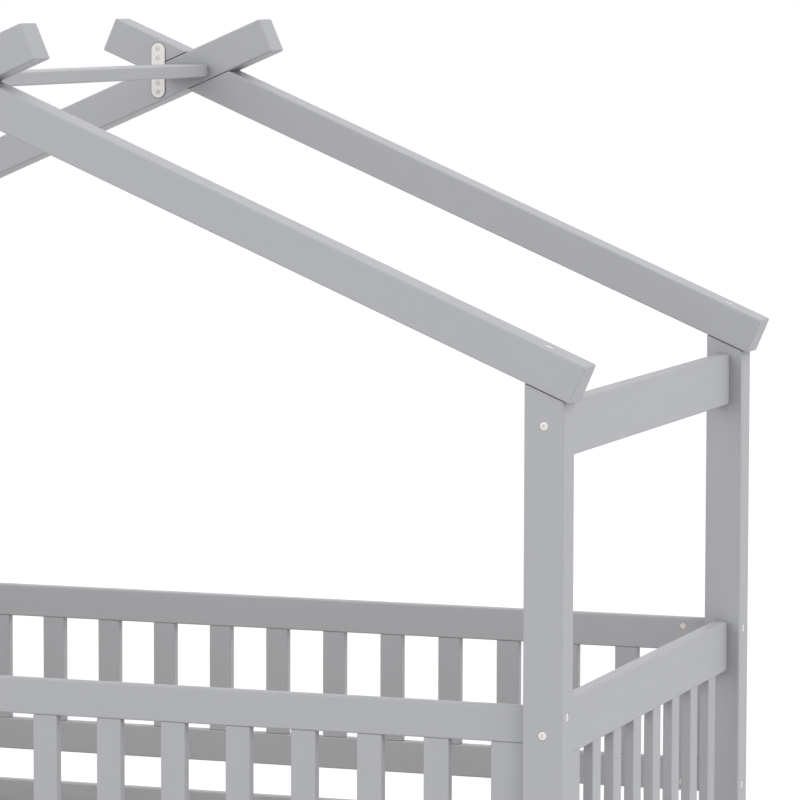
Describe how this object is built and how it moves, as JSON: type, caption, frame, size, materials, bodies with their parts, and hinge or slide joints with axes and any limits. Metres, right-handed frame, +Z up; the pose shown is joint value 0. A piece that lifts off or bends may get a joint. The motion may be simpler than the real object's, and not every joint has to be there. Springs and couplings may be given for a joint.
{
  "type": "house bed with trundle",
  "caption": "Child's house-frame bed with slatted fences all round, a cross-lapped roof outline and a low trundle bed that rolls out on fixed casters.",
  "frame": {"origin": "on the floor, under the middle of the bed's bounding box", "axes": "+X along the bed, +Z up, -Y towards the side that the trundle rolls out of"},
  "size_m": [2.0778, 1.08, 1.7896],
  "materials": {
    "painted_wood": "smooth satin grey paint",
    "bare_pine": "sanded, unpainted",
    "strap_plate": "pale coated steel",
    "zinc_steel": "bright zinc plate",
    "dark_nylon": "moulded, slightly worn tread"
  },
  "bodies": {
    "frame": {"post_front_right": "painted_wood", "post_front_left": "painted_wood", "post_back_right": "painted_wood", "post_back_left": "painted_wood", "rafter_front_right": "painted_wood", "rafter_front_left": "painted_wood", "rafter_back_right": "painted_wood", "rafter_back_left": "painted_wood", "ridge_board": "painted_wood", "lap_strap_front": "strap_plate", "lap_strap_back": "strap_plate", "upper_end_rail_right": "painted_wood", "upper_end_rail_left": "painted_wood", "end_panel_right": "painted_wood", "end_panel_left": "painted_wood", "fence_front": "painted_wood", "fence_back": "painted_wood", "side_rail_front": "painted_wood", "side_rail_back": "painted_wood", "deck_ledger_front": "bare_pine", "deck_ledger_back": "bare_pine", "deck_slat_01": "bare_pine", "deck_slat_02": "bare_pine", "deck_slat_03": "bare_pine", "deck_slat_04": "bare_pine", "deck_slat_05": "bare_pine", "deck_slat_06": "bare_pine", "deck_slat_07": "bare_pine", "deck_slat_08": "bare_pine", "deck_slat_09": "bare_pine", "deck_slat_10": "bare_pine", "deck_slat_11": "bare_pine", "deck_slat_12": "bare_pine"},
    "trundle": {"trundle_front": "painted_wood", "trundle_back": "painted_wood", "trundle_end_right": "painted_wood", "trundle_end_left": "painted_wood", "trundle_slat_01": "bare_pine", "trundle_slat_02": "bare_pine", "trundle_slat_03": "bare_pine", "trundle_slat_04": "bare_pine", "trundle_slat_05": "bare_pine", "trundle_slat_06": "bare_pine", "trundle_slat_07": "bare_pine", "trundle_slat_08": "bare_pine", "trundle_slat_09": "bare_pine", "trundle_slat_10": "bare_pine", "trundle_slat_11": "bare_pine", "caster_bracket_front_right": "zinc_steel", "caster_bracket_front_left": "zinc_steel", "caster_bracket_back_right": "zinc_steel", "caster_bracket_back_left": "zinc_steel", "caster_axle_front_right": "zinc_steel", "caster_axle_front_left": "zinc_steel", "caster_axle_back_right": "zinc_steel", "caster_axle_back_left": "zinc_steel"},
    "wheel_front_right": {"caster_wheel_front_right": "dark_nylon"},
    "wheel_front_left": {"caster_wheel_front_left": "dark_nylon"},
    "wheel_back_right": {"caster_wheel_back_right": "dark_nylon"},
    "wheel_back_left": {"caster_wheel_back_left": "dark_nylon"}
  },
  "joints": [
    {"name": "trundle_slide", "type": "slide", "parent": "frame", "child": "trundle", "axis": [0, -1, 0], "range_m": [0, 0.95]},
    {"name": "wheel_front_right_spin", "type": "hinge", "parent": "trundle", "child": "wheel_front_right", "pos_m": [0.9062, -0.4605, 0.025], "axis": [1, 0, 0], "continuous": true},
    {"name": "wheel_front_left_spin", "type": "hinge", "parent": "trundle", "child": "wheel_front_left", "pos_m": [-0.9062, -0.4605, 0.025], "axis": [1, 0, 0], "continuous": true},
    {"name": "wheel_back_right_spin", "type": "hinge", "parent": "trundle", "child": "wheel_back_right", "pos_m": [0.9062, 0.3975, 0.025], "axis": [1, 0, 0], "continuous": true},
    {"name": "wheel_back_left_spin", "type": "hinge", "parent": "trundle", "child": "wheel_back_left", "pos_m": [-0.9062, 0.3975, 0.025], "axis": [1, 0, 0], "continuous": true}
  ],
  "couplings": [
    {"joint": "wheel_front_right_spin", "follows": "trundle_slide", "rad_per_m": 40},
    {"joint": "wheel_front_left_spin", "follows": "trundle_slide", "rad_per_m": 40},
    {"joint": "wheel_back_right_spin", "follows": "trundle_slide", "rad_per_m": 40},
    {"joint": "wheel_back_left_spin", "follows": "trundle_slide", "rad_per_m": 40}
  ]
}
